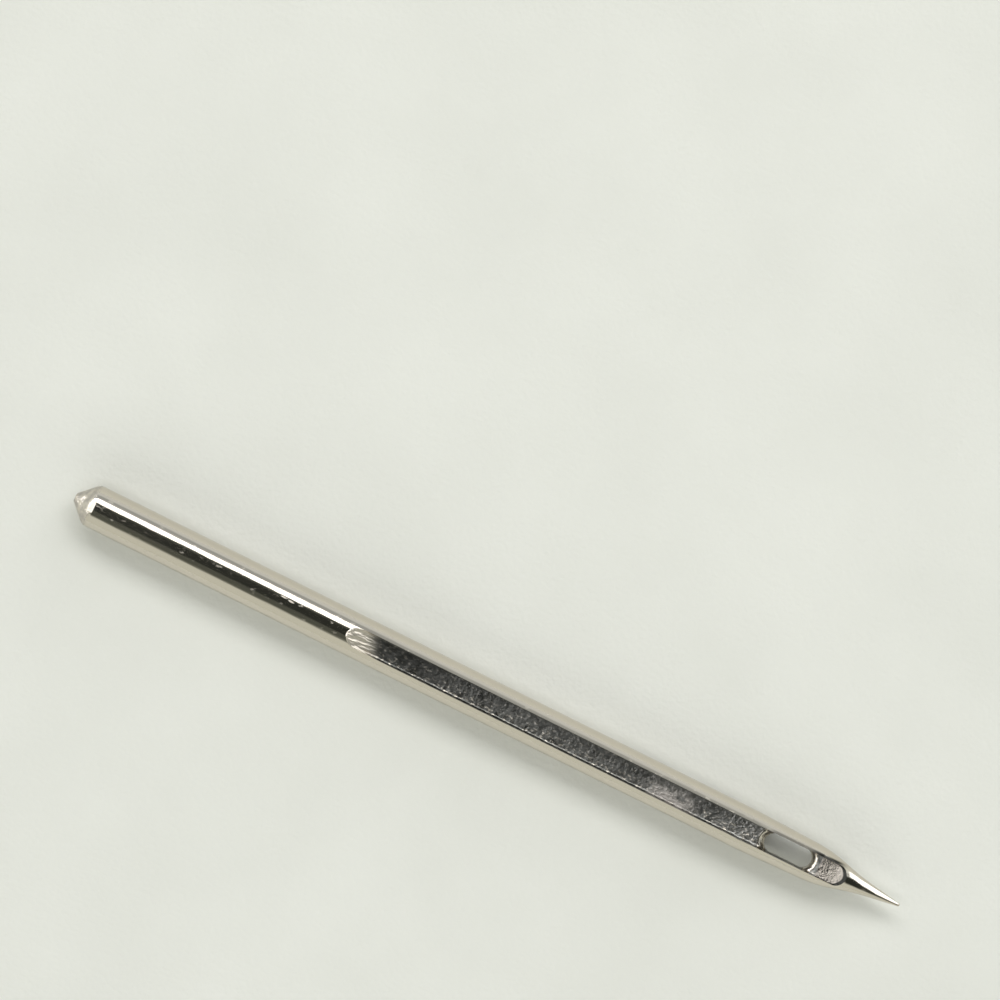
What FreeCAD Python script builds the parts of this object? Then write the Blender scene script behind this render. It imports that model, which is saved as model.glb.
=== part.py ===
# A heavy sewing machine needle with a round shank, in millimetres.
#
# The needle is one piece of plated steel wire: turned to one diameter, chamfered at the butt,
# tapered and hollowed at the point, then cut lengthwise by thin wheels. A long groove for the
# thread runs along one side, a shallow scarf lies on the other side, and a short groove in the
# scarf's end meets the long one at the eye, whose mouths are rounded for the thread.
#
# Inside the body, X runs along the axis from the butt to the point and Z points out of the long
# groove. The needle is then laid on the surface Z = 0, with the origin under its middle.
import FreeCAD, Part
import Sketcher
import math
import os
import re

doc = FreeCAD.newDocument("Needle")

# Driving dimensions, each set once: name, value, what it measures
DRIVING = [
    ("needle_length", 41.6, "butt to tip"),
    ("shank_diameter", 2.0, "round shank"),
    ("butt_flat", 0.4, "diameter of the small flat at the butt"),
    ("butt_cone_length", 0.8, "length of the chamfer at the butt"),
    ("butt_blend", 0.5, "radius between chamfer and shank"),
    ("taper_length", 7.6, "tip to where the blade begins to taper"),
    ("taper_blend", 40.0, "radius where the taper begins"),
    ("shoulder_length", 3.8, "tip to the corner of the shoulder"),
    ("shoulder_drop", 0.12, "how far the shoulder's corner lies inside the shank"),
    ("shoulder_blend", 6.5, "radius of the shoulder"),
    ("waist_length", 2.1, "tip to the corner of the hollow in front of the shoulder"),
    ("waist_diameter", 0.8, "diameter at the corner of the hollow"),
    ("waist_blend", 10.0, "radius of the hollow"),
    ("tip_radius", 0.08, "rounding of the tip"),
    ("groove_start", 13.7, "butt to the start of the long groove"),
    ("groove_width", 0.98, "width of the long groove"),
    ("groove_depth", 0.76, "depth of the long groove below the shank's crown"),
    ("groove_corner", 0.12, "radius at the foot of the groove's walls"),
    ("groove_entry_wheel", 17.5, "radius of the long groove's run-in"),
    ("groove_exit_wheel", 3.4, "radius of the long groove's run-out on the point"),
    ("scarf_start", 15.5, "tip to the start of the scarf"),
    ("scarf_end", 6.8, "tip to the end of the scarf"),
    ("scarf_depth", 0.35, "depth of the scarf below the shank's crown"),
    ("scarf_entry_wheel", 5.7, "radius of the scarf's run-in"),
    ("scarf_exit_wheel", 6.9, "radius of the scarf's run-out"),
    ("recess_width", 1.04, "width of the short groove"),
    ("recess_depth", 0.66, "depth of the short groove below the shank's crown"),
    ("recess_corner", 0.2, "radius at the foot of the short groove's walls"),
    ("recess_entry_wheel", 1.4, "radius of the short groove's run-in"),
    ("recess_exit_wheel", 8.4, "radius of the short groove's run-out on the point"),
    ("eye_to_tip", 4.48, "tip to the far end of the eye"),
    ("eye_length", 2.3, "length of the eye's straight bore"),
    ("eye_ledge", 0.03, "how far the eye's sides stand inside the long groove's walls"),
    ("eye_land", 0.18, "height of the eye's straight bore between its two rims"),
    ("rim_run", 0.28, "length of the rounded rim before and behind the eye"),
    ("clearance", 0.3, "how far cutting shapes stand clear of the metal"),
]

# Sizes that follow from them: name, formula
DERIVED = [
    ("shank_radius", "shank_diameter / 2"),
    ("butt_flat_radius", "butt_flat / 2"),
    ("taper_start", "needle_length - taper_length"),
    ("shoulder_station", "needle_length - shoulder_length"),
    ("shoulder_radius", "shank_radius - shoulder_drop"),
    ("waist_station", "needle_length - waist_length"),
    ("waist_radius", "waist_diameter / 2"),
    ("eye_far", "needle_length - eye_to_tip"),
    ("eye_near", "eye_far - eye_length"),
    ("eye_width", "groove_width - 2 * eye_ledge"),
    ("recess_floor", "shank_radius - recess_depth"),
    ("groove_floor", "shank_radius - groove_depth"),
    ("groove_level_start",
     "groove_start + sqrt(groove_depth * (2 * groove_entry_wheel - groove_depth))"),
    ("groove_level_end", "eye_far + rim_run"),
    ("rim_rise", "(groove_floor + recess_floor - eye_land) / 2"),
    ("scarf_width", "shank_diameter + clearance"),
    ("scarf_level_start",
     "needle_length - scarf_start + sqrt(scarf_depth * (2 * scarf_entry_wheel - scarf_depth))"),
    ("scarf_level_end",
     "needle_length - scarf_end - sqrt(scarf_depth * (2 * scarf_exit_wheel - scarf_depth))"),
    ("recess_level_start", "eye_near - rim_run"),
    ("recess_level_end", "eye_far + rim_run"),
]

sizes = doc.addObject("Spreadsheet::Sheet", "Sizes")
row = 0
for name, number, meaning in DRIVING:
    row += 1
    sizes.set(f"A{row}", name)
    sizes.set(f"B{row}", str(number))
    sizes.setAlias(f"B{row}", name)
    sizes.set(f"C{row}", meaning)
for name, formula in DERIVED:
    row += 1
    sizes.set(f"A{row}", name)
    sizes.set(f"B{row}", "=" + formula)
    sizes.setAlias(f"B{row}", name)
doc.recompute()

body = doc.addObject("PartDesign::Body", "Needle")
body.Label = "needle"

# The sheet's sizes as the other objects of the document call them
SHEET_NAMES = {entry[0]: "Sizes." + entry[0] for entry in DRIVING + DERIVED}

# Numbers by which sketches name their own parts
ORIGIN = (-1, 1)
H_AXIS, V_AXIS = -1, -2
START, END, CENTRE = range(1, 4)

# Signs of heights on the two sides of the axis, as formulas write them
TOP, UNDERSIDE = "", "-"
TOWARD_BUTT, TOWARD_POINT = -1, 1
FULL_TURN = 360


def measure(formula):
    """The present value of a formula in the sheet's sizes."""
    return float(sizes.evalExpression(formula))


def bound(formula):
    """The same formula as another object of the document has to write it."""
    return re.sub(r"[a-z_]+", lambda word: SHEET_NAMES.get(word[0], word[0]), formula)


def plane_sketch(name, role, offset="0"):
    """A sketch on one of the body's own planes, or parallel to it at an offset."""
    sketch = body.newObject("Sketcher::SketchObject", name)
    plane = next(f for f in body.Origin.OriginFeatures if f.Role == role)
    sketch.AttachmentSupport = [(plane, "")]
    sketch.MapMode = "FlatFace"
    sketch.AttachmentOffset = FreeCAD.Placement(
        FreeCAD.Vector(0, 0, measure(offset)), FreeCAD.Rotation())
    sketch.setExpression("AttachmentOffset.Base.z", bound(offset))
    return sketch


def dimension(sketch, name, formula, kind, *places):
    """A named dimension that follows a formula in the sheet's sizes."""
    index = sketch.addConstraint(Sketcher.Constraint(kind, *places, measure(formula)))
    sketch.renameConstraint(index, name)
    sketch.setExpression(f"Constraints.{name}", bound(formula))


def locate_one_way(sketch, name, kind, formula, geometry, point):
    """One dimension from the sketch's origin, DistanceX or DistanceY, whichever way it points."""
    if measure(formula) < 0:
        dimension(sketch, name, f"-({formula})", kind, geometry, point, *ORIGIN)
    else:
        dimension(sketch, name, formula, kind, *ORIGIN, geometry, point)


def locate(sketch, name, across, up, geometry, point):
    """Two dimensions from the sketch's origin, or the axis itself where one is zero."""
    for kind, formula, axis in (("DistanceX", across, V_AXIS), ("DistanceY", up, H_AXIS)):
        if formula == "0":
            sketch.addConstraint(Sketcher.Constraint("PointOnObject", geometry, point, axis))
        else:
            locate_one_way(sketch, name + kind[-1], kind, formula, geometry, point)


def arc(centre, radius, first, last):
    """An arc drawn counterclockwise between two angles in radians."""
    circle = Part.Circle(centre, FreeCAD.Vector(0, 0, 1), radius)
    return Part.ArcOfCircle(circle, first, last if last > first else last + 2 * math.pi)


def short_arc(centre, one, two):
    """The shorter arc about a centre between two points."""
    if (one - centre).cross(two - centre).z < 0:
        one, two = two, one
    angles = [math.atan2(p.y - centre.y, p.x - centre.x) for p in (one, two)]
    return arc(centre, one.distanceToPoint(centre), *angles)


def rounding(before, corner, after, radius):
    """The arc that rounds a corner, between the two ends that it leaves on the corner's sides."""
    one = (before - corner).normalize()
    two = (after - corner).normalize()
    half = one.getAngle(two) / 2
    inward = (one + two).normalize()
    centre = corner + inward * (radius / math.sin(half))
    reach = radius / math.tan(half)
    start, end = corner + one * reach, corner + two * reach
    return start, short_arc(centre, start, end), end


def meeting_ends(first, second):
    """Which end of one drawn piece meets which end of the next."""
    ends = [((START, first.StartPoint), (END, first.EndPoint)),
            ((START, second.StartPoint), (END, second.EndPoint))]
    pairs = [(a[1].distanceToPoint(b[1]), a[0], b[0]) for a in ends[0] for b in ends[1]]
    return min(pairs)[1:]


def draw_chain(sketch, corners, closed=True):
    """Straight sides from corner to corner, rounded where a corner has a radius.

    A corner is (name, across, up, radius), with formulas for the first three sizes. Every
    corner is held by its own two dimensions. Returns the pieces, in order, by their numbers.
    """
    points = [FreeCAD.Vector(measure(c[1]), measure(c[2]), 0) for c in corners]
    count = len(points)
    arcs = {}
    for i, corner in enumerate(corners):
        if corner[3]:
            near = points[i - 1], points[i], points[(i + 1) % count]
            arcs[i] = rounding(*near, measure(corner[3]))
    pieces = []
    owner = []
    for i in range(count if closed else count - 1):
        j = (i + 1) % count
        start = arcs[i][2] if i in arcs else points[i]
        end = arcs[j][0] if j in arcs else points[j]
        pieces.append(Part.LineSegment(start, end))
        owner.append(i)
        if j in arcs:
            pieces.append(arcs[j][1])
            owner.append(None)
    numbers = list(sketch.addGeometry(pieces, False))
    for k in range(len(pieces) if closed else len(pieces) - 1):
        m = (k + 1) % len(pieces)
        ends = meeting_ends(pieces[k], pieces[m])
        kind = "Tangent" if owner[k] is None or owner[m] is None else "Coincident"
        sketch.addConstraint(
            Sketcher.Constraint(kind, numbers[k], ends[0], numbers[m], ends[1]))
    sides = [numbers[k] for k in range(len(pieces)) if owner[k] is not None]
    for i, (name, across, up, radius) in enumerate(corners):
        last = not closed and i == count - 1
        if radius:
            point = sketch.addGeometry(Part.Point(points[i]), True)
            for side in (sides[i - 1], sides[i]):
                sketch.addConstraint(Sketcher.Constraint("PointOnObject", point, START, side))
            locate(sketch, name, across, up, point, START)
            rounded = next(n for n, p in zip(numbers, pieces) if p is arcs[i][1])
            dimension(sketch, name + "_radius", radius, "Radius", rounded)
        elif not last:
            locate(sketch, name, across, up, sides[i], START)
    return numbers


def took_away(feature):
    """Recomputes a cut and checks that it took metal."""
    doc.recompute()
    before, after = feature.BaseFeature.Shape, feature.Shape
    gone = before.Volume - after.Volume
    if gone <= 0:
        raise RuntimeError(feature.Name + " took nothing away")
    print(f"{feature.Name} took {gone:.3f} mm3, {after.Volume:.3f} mm3 are left")


# The blank: chamfered butt, shank, slow taper, shoulder, hollow and rounded tip, turned about X
blank = plane_sketch("BlankOutline", "XZ_Plane")
waist = FreeCAD.Vector(measure("waist_station"), measure("waist_radius"), 0)
nose = FreeCAD.Vector(measure("needle_length - tip_radius"), 0, 0)
tip_radius = measure("tip_radius")
to_nose = nose - waist
lift = math.atan2(to_nose.y, to_nose.x) + math.asin(tip_radius / to_nose.Length)
along = math.sqrt(to_nose.Length ** 2 - tip_radius ** 2)
touch = waist + FreeCAD.Vector(math.cos(lift), math.sin(lift), 0) * along
edge = draw_chain(blank, [
    ("butt_centre", "0", "0", None),
    ("butt_rim", "0", "butt_flat_radius", None),
    ("chamfer", "butt_cone_length", "shank_radius", "butt_blend"),
    ("taper", "taper_start", "shank_radius", "taper_blend"),
    ("shoulder", "shoulder_station", "shoulder_radius", "shoulder_blend"),
    ("waist", "waist_station", "waist_radius", "waist_blend"),
    ("touch", str(touch.x), str(touch.y), None),
], closed=False)
tip = FreeCAD.Vector(measure("needle_length"), 0, 0)
tip_arc = blank.addGeometry(short_arc(nose, touch, tip), False)
axis_side = blank.addGeometry(Part.LineSegment(tip, FreeCAD.Vector(0, 0, 0)), False)
arc_ends = meeting_ends(blank.Geometry[tip_arc], blank.Geometry[axis_side])
flank_ends = meeting_ends(blank.Geometry[edge[-1]], blank.Geometry[tip_arc])
blank.addConstraint(
    Sketcher.Constraint("Tangent", edge[-1], flank_ends[0], tip_arc, flank_ends[1]))
blank.addConstraint(
    Sketcher.Constraint("Coincident", tip_arc, arc_ends[0], axis_side, arc_ends[1]))
blank.addConstraint(Sketcher.Constraint("Coincident", axis_side, END, edge[0], START))
blank.addConstraint(Sketcher.Constraint("Horizontal", axis_side))
blank.addConstraint(Sketcher.Constraint("PointOnObject", tip_arc, CENTRE, H_AXIS))
dimension(blank, "tip_rounding", "tip_radius", "Radius", tip_arc)
dimension(blank, "overall", "needle_length", "DistanceX", *ORIGIN, axis_side, START)

turned = body.newObject("PartDesign::Revolution", "Blank")
turned.Profile = blank
turned.ReferenceAxis = (blank, ["H_Axis"])
turned.Angle = FULL_TURN
doc.recompute()


def rim_path(name, side, depth, wheels, level_start, level_end):
    """The way of a grinding wheel's rim: an arc down to the floor, level along it, an arc up.

    The arcs have the radii of the wheels, and go on until the rim is clear of the metal.
    """
    sketch = plane_sketch(name, "XZ_Plane")
    floor = f"{side}(shank_radius - {depth})"
    top = f"{side}(shank_radius + clearance)"
    up = FreeCAD.Vector(0, 1 if measure(top) > 0 else -1, 0)
    reach = measure(f"{depth} + clearance")
    ends = [FreeCAD.Vector(measure(station), measure(floor), 0)
            for station in (level_start, level_end)]
    arcs = []
    for foot, wheel, direction in zip(ends, wheels, (TOWARD_BUTT, TOWARD_POINT)):
        radius = measure(wheel)
        run = math.sqrt(radius ** 2 - (radius - reach) ** 2)
        rim_out = foot + up * reach + FreeCAD.Vector(direction * run, 0, 0)
        arcs.append(short_arc(foot + up * radius, rim_out, foot))
    pieces = [arcs[0], Part.LineSegment(*ends), arcs[1]]
    run_in, level, run_out = sketch.addGeometry(pieces, False)
    locate(sketch, "level_start", level_start, floor, level, START)
    locate(sketch, "level_end", level_end, floor, level, END)
    for number, piece, wheel, word in ((run_in, arcs[0], wheels[0], "run_in"),
                                       (run_out, arcs[1], wheels[1], "run_out")):
        near, touching = meeting_ends(piece, pieces[1])
        sketch.addConstraint(Sketcher.Constraint("Tangent", number, near, level, touching))
        dimension(sketch, word + "_wheel", wheel, "Radius", number)
        locate_one_way(sketch, word + "_top", "DistanceY", top, number, START + END - near)
    return sketch


def wheel_section(name, side, width, depth, corner, station):
    """What the wheel takes at one station: level with the floor below and clear of the metal above."""
    sketch = plane_sketch(name, "YZ_Plane", station)
    floor = f"{side}(shank_radius - {depth})"
    top = f"{side}(shank_radius + clearance)"
    draw_chain(sketch, [
        ("top_right", f"{width} / 2", top, None),
        ("floor_right", f"{width} / 2", floor, corner),
        ("floor_left", f"-({width} / 2)", floor, corner),
        ("top_left", f"-({width} / 2)", top, None),
    ])
    return sketch


def wheel_cut(name, side, width, depth, corner, wheels, level_start, level_end):
    """A wheel sinks in, runs level along the needle and lifts out again."""
    cut = body.newObject("PartDesign::SubtractivePipe", name)
    cut.Profile = wheel_section(name + "Section", side, width, depth, corner, level_start)
    cut.Spine = (rim_path(name + "Path", side, depth, wheels, level_start, level_end), [])
    cut.Mode = "Fixed"
    took_away(cut)


# The scarf: a wide, shallow, flat-bottomed cut on the underside
wheel_cut("Scarf", UNDERSIDE, "scarf_width", "scarf_depth", None,
          ("scarf_entry_wheel", "scarf_exit_wheel"), "scarf_level_start", "scarf_level_end")

# The long groove on top, from behind the shank to beyond the eye
wheel_cut("LongGroove", TOP, "groove_width", "groove_depth", "groove_corner",
          ("groove_entry_wheel", "groove_exit_wheel"), "groove_level_start", "groove_level_end")

# The short groove on the underside, from the scarf's end to beyond the eye
wheel_cut("ShortGroove", UNDERSIDE, "recess_width", "recess_depth", "recess_corner",
          ("recess_entry_wheel", "recess_exit_wheel"), "recess_level_start", "recess_level_end")


def eye_sketch(name, height, growth="0"):
    """The eye's outline, a slot with round ends, at a height and longer by a growth each way."""
    sketch = plane_sketch(name, "XY_Plane", height)
    half = measure("eye_width") / 2
    near = measure(f"eye_near - {growth}") + half
    far = measure(f"eye_far + {growth}") - half
    up = FreeCAD.Vector(0, half, 0)
    left, right = FreeCAD.Vector(near, 0, 0), FreeCAD.Vector(far, 0, 0)
    pieces = [
        Part.LineSegment(left - up, right - up),
        arc(right, half, -math.pi / 2, math.pi / 2),
        Part.LineSegment(right + up, left + up),
        arc(left, half, math.pi / 2, 3 * math.pi / 2),
    ]
    numbers = list(sketch.addGeometry(pieces, False))
    for k in range(4):
        m = (k + 1) % 4
        ends = meeting_ends(pieces[k], pieces[m])
        sketch.addConstraint(
            Sketcher.Constraint("Tangent", numbers[k], ends[0], numbers[m], ends[1]))
    sketch.addConstraint(Sketcher.Constraint("Horizontal", numbers[0]))
    locate(sketch, "far_centre", f"eye_far + {growth} - eye_width / 2", "0", numbers[1], CENTRE)
    locate(sketch, "near_centre", f"eye_near - {growth} + eye_width / 2", "0", numbers[3], CENTRE)
    dimension(sketch, "half_width", "eye_width / 2", "Radius", numbers[3])
    return sketch


# The eye: a hole through the web between the two grooves. Its sides are straight, and at both
# mouths its ends spread in a quarter ellipse, where the thread bends over the rim. Above each rim
# the mouth goes on straight, clear of the rounded feet of the groove's walls.
RIM_STEP = 15
RIM_ANGLES = range(0, 90 + RIM_STEP, RIM_STEP)


def eye_mouth(word, sign, floor):
    """Outlines from the bore outward, each as wide as the rim is open at its height."""
    outlines = []
    for angle in RIM_ANGLES:
        height = f"{sign}({floor} - rim_rise + rim_rise * sin({angle} deg))"
        growth = f"rim_run * (1 - cos({angle} deg))"
        outlines.append(eye_sketch(f"Eye{word}{angle}", height, growth))
    outlines.append(
        eye_sketch(f"Eye{word}Open", f"{sign}(shank_radius + clearance)", "rim_run"))
    return outlines


upper = eye_mouth("Top", "", "groove_floor")
lower = eye_mouth("Under", "-", "recess_floor")
eye = body.newObject("PartDesign::SubtractiveLoft", "Eye")
eye.Profile = lower[-1]
eye.Sections = lower[-2::-1] + upper
eye.Ruled = True
took_away(eye)

# Laid on the surface, long groove up, with the origin under the middle
body.setExpression("Placement.Base.x", bound("-needle_length / 2"))
body.setExpression("Placement.Base.z", bound("shank_radius"))
doc.recompute()

for thing in doc.Objects:
    if "Invalid" in thing.State or "Error" in thing.State:
        raise RuntimeError(f"{thing.Name} did not recompute: {thing.State}")
for sketch in doc.findObjects("Sketcher::SketchObject"):
    if sketch.solve() != 0 or not sketch.FullyConstrained:
        raise RuntimeError(f"{sketch.Name} is not fully held by its dimensions")

shape = body.Shape
if shape.isNull() or not shape.isValid() or len(shape.Solids) != 1:
    raise RuntimeError("the needle is not one valid solid")
print(f"{body.Label}: {shape.Volume:.3f} mm3, {len(shape.Faces)} faces")
os.makedirs("parts", exist_ok=True)
shape.exportStep(f"parts/{body.Label}.step")
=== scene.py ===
# %% [markdown]
# # A sewing machine needle on a pale table
# This lesson dresses one small, shiny object: a heavy sewing machine needle, 41.6 mm long and
# 2 mm thick, made of one piece of steel wire and plated with nickel. It lies with its long
# groove up, the point towards +X. A polished part has almost no colour of its own, so most of
# the work is in what it mirrors, and the rest in the fine marks that the grinding wheels left.
#
# The solids come finished from the frame. Nothing here moves or reshapes them: the lesson adds a
# camera, a room, lamps, a table and one material.

# %% The fixed frame
import math

import bpy
from mathutils import Matrix, Vector


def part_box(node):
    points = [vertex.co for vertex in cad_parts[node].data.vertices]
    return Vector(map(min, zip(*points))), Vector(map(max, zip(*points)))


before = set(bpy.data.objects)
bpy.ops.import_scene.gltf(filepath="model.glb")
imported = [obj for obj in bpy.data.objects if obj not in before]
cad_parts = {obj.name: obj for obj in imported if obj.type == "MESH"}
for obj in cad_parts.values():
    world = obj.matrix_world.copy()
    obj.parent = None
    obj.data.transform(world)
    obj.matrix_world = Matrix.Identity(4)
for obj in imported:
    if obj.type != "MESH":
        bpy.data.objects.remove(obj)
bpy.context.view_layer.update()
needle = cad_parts["needle"]
low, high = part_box("needle")
print("needle box in m:", [round(v, 5) for v in high - low])

# %% [markdown]
# Everything else is placed by a few sizes, and they come from the needle's box: its length along
# X, its radius, and the height of its axis over the table. Blender works in metres and a needle
# is read in millimetres, so the millimetre gets a name too.

# %% Sizes of the needle
MM = 0.001
LENGTH = high.x - low.x
RADIUS = (high.z - low.z) / 2
BUTT_X, TIP_X = low.x, high.x
AXIS_Z = low.z + RADIUS
print("length, radius and axis height in mm:", [round(v / MM, 2) for v in (LENGTH, RADIUS, AXIS_Z)])

# %% [markdown]
# The camera comes first, because everything else is judged through it. The picture is square,
# and in it the needle runs from one named pixel to another. The camera looks almost straight
# down, leaning a little towards the upper side, so the groove sits just below the axis. A camera
# could be set by eye, but the line between two pixels gives the scale, and the turn of the
# picture round the needle, exactly.

# %% Scale and turn of the picture
BUTT_PIXEL = Vector((75.5, 497.0))
TIP_PIXEL = Vector((899.5, 905.5))
LEAN = math.radians(2.8)

run = TIP_PIXEL - BUTT_PIXEL
metres_per_pixel = LENGTH / run.length
along = Vector((1, 0, 0))
back = Vector((0, math.sin(LEAN), math.cos(LEAN)))
aside = back.cross(along)
right = along * (run.x / run.length) + aside * (run.y / run.length)
up = back.cross(right)
print("scale in px/mm:", round(MM / metres_per_pixel, 2))

# %% [markdown]
# The needle's middle isn't the picture's middle, so the camera aims beside it by as many metres
# as the pixels say. A short lens close by would show the near end larger. This one is long and
# far away, which keeps the scale the same all along.

# %% Camera
IMAGE_SIDE = 1000
CAMERA_DISTANCE = 0.40
SENSOR = 36.0
CLIP_RANGE = 100

middle_pixel = (BUTT_PIXEL + TIP_PIXEL) / 2
offset = middle_pixel - Vector((IMAGE_SIDE / 2, IMAGE_SIDE / 2))
middle = Vector(((BUTT_X + TIP_X) / 2, 0, AXIS_Z))
target = middle - (right * offset.x - up * offset.y) * metres_per_pixel

camera = bpy.data.objects.new("Camera", bpy.data.cameras.new("Camera"))
bpy.context.scene.collection.objects.link(camera)
camera.data.sensor_width = SENSOR
camera.data.lens = SENSOR * CAMERA_DISTANCE / (metres_per_pixel * IMAGE_SIDE)
camera.data.clip_start = CAMERA_DISTANCE / CLIP_RANGE
camera.data.clip_end = CAMERA_DISTANCE * CLIP_RANGE
turn = Matrix((right, up, back)).transposed().to_4x4()
camera.matrix_world = Matrix.Translation(target + back * CAMERA_DISTANCE) @ turn
bpy.context.scene.camera = camera
print("lens in mm:", round(camera.data.lens, 1))

# %% [markdown]
# Wiring shader nodes by hand is wordy. One helper makes a node, sets it up and fills its inputs,
# with numbers or with links. The others are the few kinds of node that every recipe here uses:
# one step of arithmetic, a soft rise, a mix of two numbers and a mix of two colours. Blender's
# Mix node keeps its sockets for colours behind those for numbers, so they go by their place.

# %% Helpers for shader nodes
COLOUR_MIX_INPUTS = (0, 6, 7)
COLOUR_MIX_OUTPUT = 2


def add_node(tree, kind, inputs=None, **settings):
    """A new node with settings such as operation, and with numbers or links on its inputs."""
    node = tree.nodes.new(kind)
    for name, value in settings.items():
        setattr(node, name, value)
    for key, value in (inputs or {}).items():
        socket = node.inputs[key]
        if isinstance(value, bpy.types.NodeSocket):
            tree.links.new(value, socket)
        else:
            socket.default_value = value
    return node


def maths(tree, operation, *values):
    """The result of one Math node."""
    inputs = dict(enumerate(values))
    return add_node(tree, "ShaderNodeMath", inputs, operation=operation).outputs[0]


def ramp(tree, value, start, end, low_out=0.0, high_out=1.0, shape="SMOOTHSTEP"):
    """A rise from one output to another while the value goes from start to end."""
    node = add_node(tree, "ShaderNodeMapRange",
                    {"Value": value, "From Min": start, "From Max": end,
                     "To Min": low_out, "To Max": high_out},
                    interpolation_type=shape)
    return node.outputs["Result"]


def blend(tree, factor, one, other):
    """One number where the factor is 0, the other where it is 1."""
    node = add_node(tree, "ShaderNodeMix", {"Factor": factor, "A": one, "B": other},
                    data_type="FLOAT")
    return node.outputs["Result"]


def tint(tree, factor, one, other):
    """One colour where the factor is 0, the other where it is 1."""
    colours = [c if isinstance(c, bpy.types.NodeSocket) else (*c, 1) for c in (one, other)]
    inputs = dict(zip(COLOUR_MIX_INPUTS, (factor, *colours)))
    return add_node(tree, "ShaderNodeMix", inputs, data_type="RGBA").outputs[COLOUR_MIX_OUTPUT]


def new_material(name):
    """An empty material with its node tree and its output node."""
    made = bpy.data.materials.new(name)
    made.use_nodes = True
    made.node_tree.nodes.clear()
    return made, made.node_tree, made.node_tree.nodes.new("ShaderNodeOutputMaterial")


print("shader helpers ready")

# %% [markdown]
# A needle this shiny is a mirror for the room. The room could be a panorama picture, or walls
# and a ceiling built round the table. It is a world with a tone for each direction instead,
# because each stripe on the needle can then be moved by one number. First the world has to know
# the direction, as an angle from straight up.

# %% The room's directions
room = bpy.data.worlds.new("Room")
bpy.context.scene.world = room
room.use_nodes = True
tree = room.node_tree
tree.nodes.clear()
direction = add_node(tree, "ShaderNodeTexCoord").outputs["Generated"]
axes = add_node(tree, "ShaderNodeSeparateXYZ", {0: direction})
from_up = maths(tree, "ARCCOSINE", axes.outputs["Z"])


def degrees_ramp(start, end):
    """A rise while the angle from straight up goes from start to end, in degrees."""
    return ramp(tree, from_up, math.radians(start), math.radians(end))


print("world:", room.name)

# %% [markdown]
# Over the camera the ceiling is dark. Round it lies a shade, which is left out towards the point,
# and from there a pale wall goes down to the horizon. That gives the black stripe on the crown
# and the calm tan along the lower flank. The wall on the other side is cooler, with a grey ledge,
# which draws a thin grey line there. Each edge is a pair: where the change starts and where it
# has ended, in degrees or, for the two that look along X and Y, in parts of the direction.

# %% The room's tones
CEILING = (0.029, 0.032, 0.027)
SHADE = (0.10, 0.107, 0.09)
WALL = (0.737, 0.752, 0.67)
COOL_WALL = (0.76, 0.79, 0.78)
LEDGE = (0.44, 0.46, 0.46)
CEILING_EDGE, WALL_EDGE = (17, 23), (41, 56)
LEDGE_TOP, LEDGE_FOOT = (52, 58), (67, 76)
SIDE_EDGE, SHADE_END = (-0.05, 0.15), (0.3, 0.5)

over_foot = maths(tree, "SUBTRACT", 1.0, degrees_ramp(*LEDGE_FOOT))
on_ledge = maths(tree, "MULTIPLY", degrees_ramp(*LEDGE_TOP), over_foot)
far_wall = tint(tree, on_ledge, COOL_WALL, LEDGE)
wall = tint(tree, ramp(tree, axes.outputs["Y"], *SIDE_EDGE), WALL, far_wall)
shade = tint(tree, ramp(tree, axes.outputs["X"], *SHADE_END), SHADE, CEILING)
dark = tint(tree, degrees_ramp(*CEILING_EDGE), CEILING, shade)
tone = tint(tree, degrees_ramp(*WALL_EDGE), dark, wall)
sky = add_node(tree, "ShaderNodeBackground", {"Color": tone})
add_node(tree, "ShaderNodeOutputWorld", {"Surface": sky.outputs[0]})
bpy.context.scene.view_settings.view_transform = "Standard"
print("room in", len(tree.nodes), "nodes")

# %% [markdown]
# Five softboxes do the rest. They could be bright patches of the world too, but a lamp throws a
# cleaner shadow, and can be kept out of the mirror or off the table. The long one hangs beside
# the needle, on the upper side of the picture, and draws the white stripe. A narrow one stands
# past the point and whitens its upper half. The broad one leans in from beyond the butt and
# whitens the chamfer and the run-outs, and is only there to be mirrored. The last two aren't
# mirrored: one softens the shadow, and one lights the table through the eye.

# %% Softboxes
SOFTBOX_DISTANCE = 0.5


def seen_at(angle, tilt=0.0):
    """A direction at an angle from the vertical towards -Y, tilted towards +X, in degrees."""
    a, b = math.radians(angle), math.radians(tilt)
    return Vector((math.sin(b), -math.sin(a) * math.cos(b), math.cos(a) * math.cos(b)))


def softbox(name, direction, size_along, size_round, radiance, lit=True, mirrored=True):
    """A rectangular lamp that faces the needle, with its sizes along X and round the needle.

    It can be kept from lighting matt things, or from showing in shiny ones.
    """
    lamp = bpy.data.lights.new(name, "AREA")
    lamp.shape = "RECTANGLE"
    lamp.size = size_along
    lamp.size_y = size_round
    lamp.energy = radiance * math.pi * size_round * size_along
    away = direction.normalized()
    side = away.cross(Vector((1, 0, 0))).normalized()
    facing_needle = Matrix((side.cross(away), side, away)).transposed().to_4x4()
    obj = bpy.data.objects.new(name, lamp)
    obj.matrix_world = Matrix.Translation(middle + away * SOFTBOX_DISTANCE) @ facing_needle
    obj.visible_diffuse = lit
    obj.visible_glossy = mirrored
    bpy.context.scene.collection.objects.link(obj)
    print(name, "power in W:", round(lamp.energy, 2))


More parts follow.
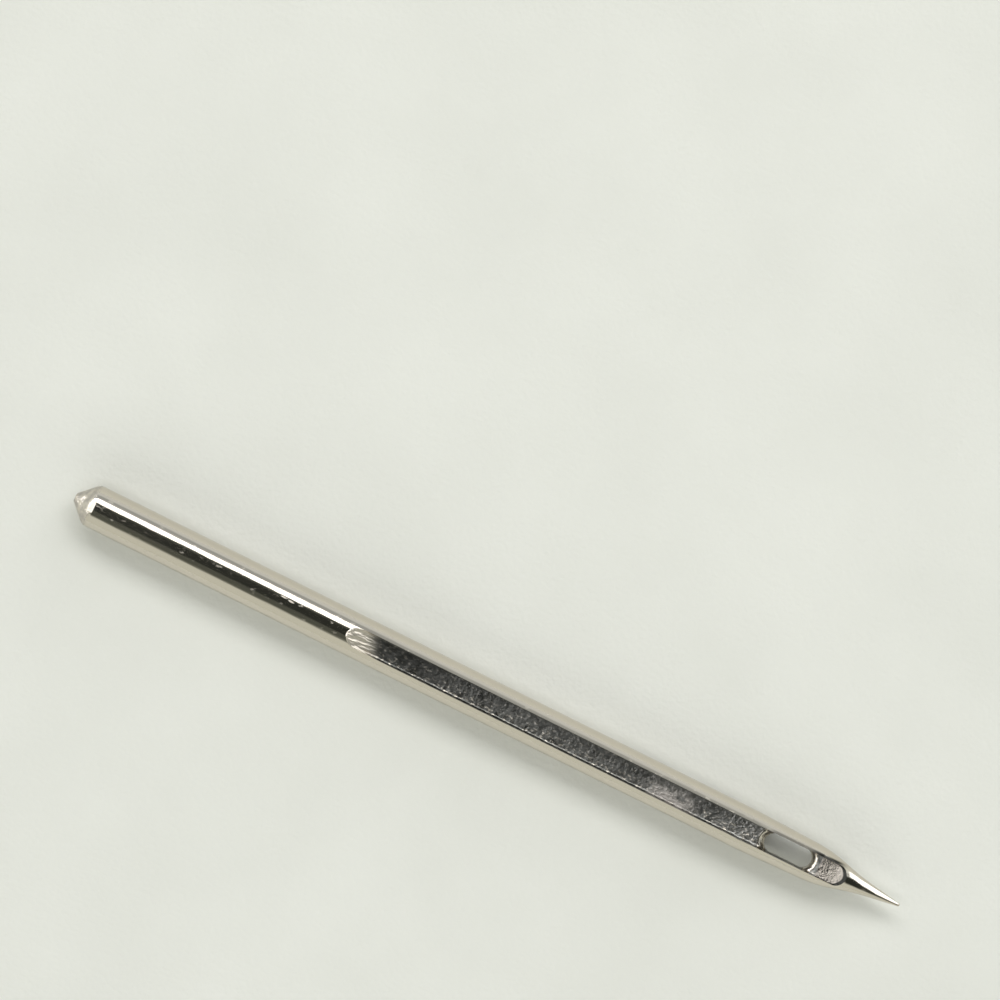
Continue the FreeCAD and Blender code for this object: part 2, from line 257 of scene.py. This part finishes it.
softbox("SideSoftbox", seen_at(-39.5, tilt=-12), size_along=0.60, size_round=0.19, radiance=3.8)
softbox("PointSoftbox", seen_at(-55, tilt=24), size_along=0.14, size_round=0.74, radiance=2.0)
softbox("ButtSoftbox", seen_at(5, tilt=-47), size_along=0.80, size_round=0.56, radiance=1.8,
        lit=False)
softbox("FillSoftbox", seen_at(62), size_along=0.60, size_round=0.30, radiance=1.15,
        mirrored=False)
softbox("CrownSoftbox", seen_at(9), size_along=0.50, size_round=0.20, radiance=1.75,
        mirrored=False)

# %% [markdown]
# Nothing real is quite even. Noise on its own rarely spans black to white, so it has to be
# stretched. That could be done in each material, but one node group keeps it in a single place,
# and both the nickel and the table take their unevenness from it, each at its own scale.

# %% Cloudy unevenness, a shared node group
USUAL_NOISE = (0.3, 0.7)
cloudy_group = bpy.data.node_groups.new("Cloudy", "ShaderNodeTree")
for socket_name, socket_type in (("Place", "NodeSocketVector"), ("Scale", "NodeSocketFloat"),
                                 ("Detail", "NodeSocketFloat")):
    cloudy_group.interface.new_socket(socket_name, in_out="INPUT", socket_type=socket_type)
cloudy_group.interface.new_socket("Value", in_out="OUTPUT", socket_type="NodeSocketFloat")
given = cloudy_group.nodes.new("NodeGroupInput").outputs
clouds = add_node(cloudy_group, "ShaderNodeTexNoise",
                  {"Vector": given["Place"], "Scale": given["Scale"], "Detail": given["Detail"]})
stretched = ramp(cloudy_group, clouds.outputs[0], *USUAL_NOISE, shape="LINEAR")
add_node(cloudy_group, "NodeGroupOutput", {"Value": stretched})


def cloudy(tree, place, scale, detail=2.0):
    """Unevenness between 0 and 1, with so many clouds to the unit of the place."""
    inputs = {"Place": place, "Scale": scale, "Detail": detail}
    node = add_node(tree, "ShaderNodeGroup", inputs, node_tree=cloudy_group)
    return node.outputs["Value"]


print("shared group:", cloudy_group.name)

# %% [markdown]
# The table is one large, flat square under the needle, so large that no view shows its edge.

# %% Table
TABLE_SIDE = 3.0
half_side = TABLE_SIDE / 2
corners = [(-half_side, -half_side, 0), (half_side, -half_side, 0),
           (half_side, half_side, 0), (-half_side, half_side, 0)]
table_mesh = bpy.data.meshes.new("Table")
table_mesh.from_pydata(corners, [], [(0, 1, 2, 3)])
table = bpy.data.objects.new("Table", table_mesh)
bpy.context.scene.collection.objects.link(table)
print("table side in m:", TABLE_SIDE)

# %% [markdown]
# Its card is plain and pale, a little warm, with faint clouds and a trace of fibres. It is matt,
# so it shows only the needle's soft shadow. Seen from underneath it is clear, so that the
# underside of the needle can be looked at. Clouds and fibres are counted to the metre.

# %% Pale card
TABLE_COLOUR = (0.745, 0.75, 0.70)
TABLE_CLOUD = (0.705, 0.71, 0.66)
CARD_CLOUDS, CARD_DETAIL = 120, 4.0
FIBRES, FIBRE_HEIGHT = 4000, 0.00001
CARD_ROUGHNESS, CARD_SHEEN = 0.8, 0.2
card, tree, out = new_material("Pale card")
spot = add_node(tree, "ShaderNodeTexCoord").outputs["Object"]
card_clouds = cloudy(tree, spot, CARD_CLOUDS, CARD_DETAIL)
fibres = add_node(tree, "ShaderNodeBump",
                  {"Height": cloudy(tree, spot, FIBRES), "Distance": FIBRE_HEIGHT})
matt = add_node(tree, "ShaderNodeBsdfPrincipled",
                {"Base Color": tint(tree, card_clouds, TABLE_COLOUR, TABLE_CLOUD),
                 "Roughness": CARD_ROUGHNESS, "Specular IOR Level": CARD_SHEEN,
                 "Normal": fibres.outputs[0]})
clear = add_node(tree, "ShaderNodeBsdfTransparent")
beneath = add_node(tree, "ShaderNodeNewGeometry").outputs["Backfacing"]
mixed = add_node(tree, "ShaderNodeMixShader",
                 {0: beneath, 1: matt.outputs[0], 2: clear.outputs[0]})
tree.links.new(mixed.outputs[0], out.inputs["Surface"])
table_mesh.materials.append(card)
print("card in", len(tree.nodes), "nodes")

# %% [markdown]
# The finish of the needle changes from place to place. It could be painted on, or given face by
# face in several materials, but the edges between finishes would be only as fine as the picture
# or the mesh. One material that knows where it is draws them as sharp or soft as they are. It
# reads the place in the needle's own frame, in millimetres: the station along the needle from
# the butt, how far across the groove, and the height over the axis.

# %% Where on the needle
plate, tree, out = new_material("Nickel plate")
in_metres = add_node(tree, "ShaderNodeTexCoord").outputs["Object"]
place = add_node(tree, "ShaderNodeVectorMath", {0: in_metres, "Scale": 1 / MM},
                 operation="SCALE").outputs[0]
parts = add_node(tree, "ShaderNodeSeparateXYZ", {0: place})
station = maths(tree, "SUBTRACT", parts.outputs["X"], BUTT_X / MM)
across = parts.outputs["Y"]
height = maths(tree, "SUBTRACT", parts.outputs["Z"], AXIS_Z / MM)
print("material:", plate.name)

# %% [markdown]
# A mask is 1 where something is and 0 where it isn't, with a soft edge between. Masks multiply
# where all of them have to hold, and add up where any will do. A soft edge is a pair of numbers,
# where the change starts and where it has ended, and a pair that counts down makes a fall.

# %% Helpers for masks


def both(*masks):
    """Where all the masks are."""
    product = masks[0]
    for mask in masks[1:]:
        product = maths(tree, "MULTIPLY", product, mask)
    return product


def total(*heights):
    """The sum of several heights or masks."""
    found = heights[0]
    for value in heights[1:]:
        found = maths(tree, "ADD", found, value)
    return found


def outside(mask):
    """Where a mask isn't."""
    return maths(tree, "SUBTRACT", 1.0, mask)


def squares(one, other):
    """The square of the slanting distance that two distances at right angles give."""
    return total(both(one, one), both(other, other))


def stretch(start, end, soft=0.1):
    """Between two stations, in millimetres from the butt, with soft ends."""
    return both(ramp(tree, station, start - soft, start + soft),
                outside(ramp(tree, station, end - soft, end + soft)))


def squeezed(factors):
    """The place with its three axes multiplied, which draws clouds out along the smallest."""
    node = add_node(tree, "ShaderNodeVectorMath", {0: place, 1: factors}, operation="MULTIPLY")
    return node.outputs[0]


def patches(squeeze, scale, start, end, detail=2.0):
    """Soft patches, drawn out by the squeeze, where the clouds are thicker than start."""
    return ramp(tree, cloudy(tree, squeezed(squeeze), scale, detail), start, end)


print("mask helpers ready")

# %% [markdown]
# The distance from the axis, set against the turned outline, tells the skin of the needle from
# what the wheels have cut. The outline is the wire's radius, less what the point has lost by
# each station. On the point a little play is left, because its outline is smoother than these
# three straight runs.

# %% How far below the skin
WIRE = RADIUS / MM
TAPER, SHOULDER, WAIST, TIP = 34.0, 37.8, 39.5, LENGTH / MM
SHOULDER_DROP, WAIST_DROP, TIP_DROP = 0.12, 0.48, 0.32
POINT_NEARS, SKIN_PLAY = (33.0, 34.5), (0.012, 0.05)
SKIN_EDGE = (0.0, 0.02)
drop = total(ramp(tree, station, TAPER, SHOULDER, 0, SHOULDER_DROP, "LINEAR"),
             ramp(tree, station, SHOULDER, WAIST, 0, WAIST_DROP, "LINEAR"),
             ramp(tree, station, WAIST, TIP, 0, TIP_DROP, "LINEAR"))
from_axis = maths(tree, "SQRT", squares(across, height))
below_skin = maths(tree, "SUBTRACT", maths(tree, "SUBTRACT", WIRE, drop), from_axis)
skin_play = ramp(tree, station, *POINT_NEARS, *SKIN_PLAY)
deep = ramp(tree, maths(tree, "SUBTRACT", below_skin, skin_play), *SKIN_EDGE)
print("wire radius in mm:", round(WIRE, 2))

# %% [markdown]
# On the point, where the outline falls away, the way a surface faces tells more: there only the
# run-outs of the cuts lean back towards the butt. The butt itself is never counted as cut.

# %% What the wheels have cut
LEANING, LEAN_START = (0.0, -0.03), (37.3, 37.5)
BUTT_LEFT = (2.0, 2.2)
UPPER_EDGE = (-0.05, 0.05)
facing = add_node(tree, "ShaderNodeSeparateXYZ",
                  {0: add_node(tree, "ShaderNodeNewGeometry").outputs["Normal"]})
leans_back = both(ramp(tree, facing.outputs["X"], *LEANING), ramp(tree, station, *LEAN_START))
cut = both(maths(tree, "MAXIMUM", deep, leans_back), ramp(tree, station, *BUTT_LEFT))
upper = ramp(tree, height, *UPPER_EDGE)
top_cut = both(cut, upper)
print("cuts start at station", BUTT_LEFT[0], "or later")

# %% [markdown]
# The ends of the needle and of its long groove have finishes of their own: the chamfer at the
# butt, the run-in where the wheel entered, and the run-out where it left. The run-in's end lies
# a little aslant, as the wheel did.

# %% Chamfer, run-in and run-out
CHAMFER_END = (0.80, 1.01)
RUN_IN_END, RUN_IN_SLANT = (14.6, 15.5), 0.4
RUN_OUT_START = (37.5, 37.6)
chamfer = outside(ramp(tree, station, *CHAMFER_END))
slanted = maths(tree, "MULTIPLY_ADD", across, RUN_IN_SLANT, station)
run_in = both(top_cut, outside(ramp(tree, slanted, *RUN_IN_END)))
run_out = both(top_cut, ramp(tree, station, *RUN_OUT_START))
print("long groove from station", RUN_IN_END[0], "to", RUN_OUT_START[1])

# %% [markdown]
# The eye is a slot with round ends. A distance from the line down its middle is the same all the
# way round an end, so it finds the crescents before and behind the eye, where the rims are
# rounded and polished.

# %% The rims of the eye
EYE_MIDDLE, EYE_STRAIGHT, EYE_HALF = 35.95, 1.38, 0.46
RIM_START, RIM_END = (0.2, 0.3), (0.70, 0.80)
eye_place = maths(tree, "ABSOLUTE", maths(tree, "SUBTRACT", station, EYE_MIDDLE))
past_eye = maths(tree, "MAXIMUM", 0.0, maths(tree, "SUBTRACT", eye_place, EYE_STRAIGHT / 2))
from_eye = maths(tree, "SQRT", squares(past_eye, across))
round_end = ramp(tree, past_eye, *RIM_START)
eye_rims = both(cut, round_end, outside(ramp(tree, from_eye, *RIM_END)))
print("masks take", len(tree.nodes), "nodes")

# %% [markdown]
# The relief is a height in millimetres, summed from the marks that tools left. They are a few
# thousandths high, too fine for the mesh, so they tilt the light in the shader. Each kind of
# mark is a recipe: how the place is squeezed along, across and up, how many clouds there are to
# the millimetre, how high they stand, and sometimes how much detail they have. The skin has been
# polished lengthwise and keeps only faint waves and lines.

# %% Relief of the skin
SKIN_WAVES = ((0.15, 1, 1), 3.5, 0.0014)
SKIN_LINES = ((0.06, 1, 1), 16, 0.0006)


def marks(squeeze, scale, size, detail=2.0):
    """Cloudy marks of so many millimetres, about zero."""
    value = cloudy(tree, squeezed(squeeze), scale, detail)
    return maths(tree, "MULTIPLY", maths(tree, "SUBTRACT", value, 0.5), size)


skin_marks = total(marks(*SKIN_WAVES), marks(*SKIN_LINES))
print("skin marks up to", SKIN_WAVES[2] + SKIN_LINES[2], "mm")

# %% [markdown]
# The cuts keep the grain of the grinding, coarse and fine together. It gets stronger near the
# eye, and where something has rubbed one side of the groove. Beside the lower wall the wheel's
# edge has torn short teeth. A recipe for patches ends in their soft edge, not in a height.

# %% Relief of the cuts
COARSE_GRAIN = ((0.7, 1, 1), 2.6, 0.009)
FINE_GRAIN = ((0.8, 1, 1), 7.0, 0.010)
TEETH = ((1, 0.35, 0.35), 3.5, 0.026, 1.0)
NEAR_EYE, BESIDE_WALL = (31.5, 34.2), (-0.10, -0.40)
RUBBED_STRETCH, RUBBED_SIDE = (29.1, 31.2, 0.7), (0.60, -0.15)
RUBBED_PATCHES = ((1, 1, 1), 2.4, 0.0, 0.7, 3.0)
rubbed = both(stretch(*RUBBED_STRETCH), ramp(tree, across, *RUBBED_SIDE),
              patches(*RUBBED_PATCHES))
near_eye = ramp(tree, station, *NEAR_EYE)
rougher = total(1.0, near_eye, rubbed)
fine_grain = marks(*FINE_GRAIN)
teeth = both(ramp(tree, across, *BESIDE_WALL), marks(*TEETH))
ground_marks = total(marks(*COARSE_GRAIN), both(rougher, fine_grain), teeth)
print("grain up to", COARSE_GRAIN[2] + 2 * FINE_GRAIN[2], "mm")

# %% [markdown]
# The run-in is brushed lengthwise, in broad strokes and fine ones. On the run-out the wheel
# chattered and left small ridges across it. A wave texture would rule them too straight, so they
# are a sine of the station whose phase wanders, by a recipe that counts in radians. The chamfer
# is dented like a cropped and tumbled wire end.

# %% Relief of the run-in, the run-out and the chamfer
BROAD_STROKES = ((0.05, 1, 1), 5.5, 0.034, 1.0)
FINE_STROKES = ((0.04, 1, 1), 9.0, 0.026, 1.0)
CHATTER_PER_MM, CHATTER_HEIGHT = 29.0, 0.0075
CHATTER_WANDER, CHATTER_STRETCH = ((1, 1, 1), 5.0, 9.0), (37.5, 38.35)
CHAMFER_DENTS = ((1, 1, 1), 2.2, 0.022, 1.0)
CHAMFER_GRAIN = ((1, 1, 1), 5.0, 0.018)
brushed = total(marks(*FINE_STROKES), marks(*BROAD_STROKES))
phase = total(maths(tree, "MULTIPLY", station, CHATTER_PER_MM), marks(*CHATTER_WANDER))
chatter = maths(tree, "MULTIPLY", maths(tree, "SINE", phase), CHATTER_HEIGHT)
chattered = both(stretch(*CHATTER_STRETCH), total(chatter, fine_grain))
dented = total(marks(*CHAMFER_DENTS), marks(*CHAMFER_GRAIN))
print("ridges on the run-out:", round(CHATTER_PER_MM / math.tau, 1), "to the millimetre")

# %% [markdown]
# Edges are what makes a small part look real. The rims fall away into the eye, a fine burr stands
# at the start of the groove, and the groove's lower lip is broken a little. The butt's edge is
# flared by the chamfering. All this is far finer than the solids need to be, so it is a slope of
# the relief and not of the mesh.

# %% Relief of the edges
RIM_REACH, RIM_FALL = 0.74, 0.10
RIM_DENTS = ((1, 1, 1), 5.0, 0.010, 1.0)
BURR_STRETCH, BURR_EDGE, BURR_HEIGHT = (12, 14.8, 0.8), (0.002, 0.03), 0.05
LIP, LIP_WIDTH, LIP_FALL = 0.49, 0.035, 0.006
LIP_STRETCH, LOWER_SIDE = (14.6, 38.3, 0.3), (0.05, -0.05)
FLARE, FLARE_FALL = (0.50, 0.86), 0.05
rim_fall = both(round_end, ramp(tree, from_eye, EYE_HALF, RIM_REACH, -RIM_FALL, 0.0))
burr = both(upper, stretch(*BURR_STRETCH), ramp(tree, below_skin, *BURR_EDGE, 0.0, BURR_HEIGHT))
beside = maths(tree, "ABSOLUTE", across)
lip_fall = ramp(tree, beside, LIP, LIP + LIP_WIDTH, -LIP_FALL, 0.0, "LINEAR")
lips = both(outside(cut), upper, ramp(tree, across, *LOWER_SIDE), stretch(*LIP_STRETCH), lip_fall)
flared = ramp(tree, station, *FLARE, -FLARE_FALL, 0.0)
print("lip broken by", LIP_FALL, "mm over", LIP_WIDTH, "mm")

# %% [markdown]
# One Bump node turns the whole relief into slopes. Each part of the relief counts only inside
# its own mask, so the finishes meet but don't mix.

# %% The relief as a whole
relief = total(
    both(outside(cut), skin_marks),
    both(cut, outside(eye_rims), outside(run_in), ground_marks),
    both(run_in, brushed),
    both(run_out, chattered),
    both(top_cut, rim_fall),
    both(chamfer, dented),
    both(eye_rims, marks(*RIM_DENTS)),
    flared, burr, lips)
bump = add_node(tree, "ShaderNodeBump", {"Height": relief, "Distance": MM})
print("relief ready,", len(tree.nodes), "nodes so far")

# %% [markdown]
# Handling has left dull spots scattered over the skin, and one short scuff on the crown. The
# scuff is an ellipse, drawn out along the needle and turned a little, broken up by fine clouds.

# %% Dull spots and the scuff
DULL_SPOTS = ((0.6, 1, 1), 4.5, 0.78, 1.0)
SCUFF_STATION, SCUFF_ACROSS, SCUFF_SLOPE = 10.68, 0.175, 0.09
SCUFF_HALF_LENGTH, SCUFF_HALF_WIDTH = 0.38, 0.05
SCUFF_EDGE, SCUFF_PATCHES = (1.2, 0.5), ((0.3, 1, 1), 12.0, 0.3, 0.7)
dull_spots = patches(*DULL_SPOTS)
past_scuff = maths(tree, "SUBTRACT", station, SCUFF_STATION)
beside_scuff = maths(tree, "SUBTRACT", across, SCUFF_ACROSS)
off_line = maths(tree, "MULTIPLY_ADD", past_scuff, SCUFF_SLOPE, beside_scuff)
scuff_far = squares(maths(tree, "DIVIDE", past_scuff, SCUFF_HALF_LENGTH),
                    maths(tree, "DIVIDE", off_line, SCUFF_HALF_WIDTH))
scuff = both(upper, ramp(tree, scuff_far, *SCUFF_EDGE), patches(*SCUFF_PATCHES))
print("scuff at station", SCUFF_STATION)

# %% [markdown]
# Roughness tells polished from ground. It starts from the bright skin, and each finish in turn
# takes over inside its mask. The cuts vary between two values, as a wheel dulls and is dressed.

# %% Roughness
POLISHED, DULL, SCUFFED = 0.09, 0.26, 0.5
GROUND_FINE, GROUND_COARSE, WHEEL_CLOUDS = 0.26, 0.42, 2.2
RUN_OUT_ROUGH, RUN_IN_ROUGH, RUBBED_ROUGH = 0.22, 0.44, 0.55
RIM_ROUGH, CHAMFER_ROUGH = 0.20, 0.28
ground_rough = blend(tree, cloudy(tree, place, WHEEL_CLOUDS), GROUND_FINE, GROUND_COARSE)
roughness = blend(tree, dull_spots, POLISHED, DULL)
for mask, value in ((scuff, SCUFFED), (cut, ground_rough), (run_out, RUN_OUT_ROUGH),
                    (run_in, RUN_IN_ROUGH), (both(cut, rubbed), RUBBED_ROUGH),
                    (eye_rims, RIM_ROUGH), (chamfer, CHAMFER_ROUGH)):
    roughness = blend(tree, mask, roughness, value)
print("roughness from", POLISHED, "to", RUBBED_ROUGH)

# %% [markdown]
# Bright nickel is a warm white metal. What the wheels have ground is given a dark grey, partly for
# its duller finish and partly as painted shade for the dark that its grain turns back. It is
# painted paler along the groove and again near the eye. Small bright flecks stand in it, painted
# thicker on the side that faces the light as painted glints.

# %% The ground metal
NICKEL = (0.66, 0.61, 0.53)
# The dark of these ground tones is partly the duller finish and partly painted shade.
DARK_GROUND_AND_SHADE = (0.125, 0.125, 0.118)
GROUND_AND_SHADE = (0.165, 0.165, 0.155)
PALE_GROUND_AND_SHADE = (0.27, 0.268, 0.255)
GROUND_PALER = (20.5, 22.5)
FLECKS = ((0.6, 1, 1), 9.0, 0.55, 1.10, 3.0)
LIT_SIDE_FOR_GLINTS, FLECK_SHARE = (0.3, -0.3), (0.3, 1.0)
# The flecks are painted thicker on the side that faces the light, as painted glints.
flecks_and_glints = both(patches(*FLECKS), ramp(tree, across, *LIT_SIDE_FOR_GLINTS, *FLECK_SHARE))
ground = tint(tree, ramp(tree, station, *GROUND_PALER), DARK_GROUND_AND_SHADE, GROUND_AND_SHADE)
ground = tint(tree, near_eye, ground, PALE_GROUND_AND_SHADE)
ground = tint(tree, flecks_and_glints, ground, NICKEL)
print("ground metal in four tones")

# %% [markdown]
# The run-in and the eye's rims are as bright as the skin. The rubbed patch and parts of the
# chamfer have lost some of their shine, and the run-out is darker still. Two edges are painted
# nearly black, as painted shade and painted reflection of the dark: the run-out's far rim, and the
# upper lip from the eye to the run-out's end. Each tone is laid over the last inside its own mask.

# %% Colour
ROUGH_NICKEL = (0.42, 0.395, 0.37)
RUN_OUT_NICKEL = (0.27, 0.248, 0.222)
# A near-black colour for painted shade and painted reflection of the dark on two edges.
PAINTED_DARK_REFLECTION = (0.03, 0.03, 0.027)
CHAMFER_CLOUDS, CHAMFER_DETAIL = 3.5, 3.0
PAINTED_RIM_START, PAINTED_RIM_DEPTH = (38.1, 38.3), (0.10, 0.13)
PAINTED_LIP_START, PAINTED_LIP_END = (0.45, 0.48), (0.56, 0.65)
PAINTED_LIP_STRETCH = (34.9, 38.5, 0.3)
PAINTED_DARKER_PAST_EYE, PAINTED_DARK_SHARE = (36.8, 37.4), (0.6, 1.0)
worn = total(run_out, both(cut, rubbed),
             both(chamfer, cloudy(tree, place, CHAMFER_CLOUDS, CHAMFER_DETAIL)))
# Where the near-black is painted: the run-out's far rim, and the upper lip beside and past the eye.
painted_dark_end_rim = both(run_out, ramp(tree, station, *PAINTED_RIM_START),
               outside(ramp(tree, below_skin, *PAINTED_RIM_DEPTH)))
painted_dark_lip = both(upper, ramp(tree, across, *PAINTED_LIP_START),
                outside(ramp(tree, across, *PAINTED_LIP_END)), stretch(*PAINTED_LIP_STRETCH),
                ramp(tree, station, *PAINTED_DARKER_PAST_EYE, *PAINTED_DARK_SHARE))
colour = tint(tree, cut, NICKEL, ground)
for mask, value in ((total(eye_rims, run_in), NICKEL), (worn, ROUGH_NICKEL),
                    (run_out, RUN_OUT_NICKEL), (total(painted_dark_end_rim, painted_dark_lip), PAINTED_DARK_REFLECTION)):
    colour = tint(tree, mask, colour, value)
print("colour ready")

# %% [markdown]
# Colour, roughness and relief meet in one shader, a plain metal. A coat of varnish over steel
# would look alike from afar, but plating is metal through and through. The needle is one piece
# with one plating, so it takes this one material.

# %% Nickel plate
nickel = add_node(tree, "ShaderNodeBsdfPrincipled",
                  {"Base Color": colour, "Metallic": 1.0, "Roughness": roughness,
                   "Normal": bump.outputs[0]})
tree.links.new(nickel.outputs[0], out.inputs["Surface"])
needle.data.materials.clear()
needle.data.materials.append(plate)
print("nickel on", needle.name, "in", len(tree.nodes), "nodes")
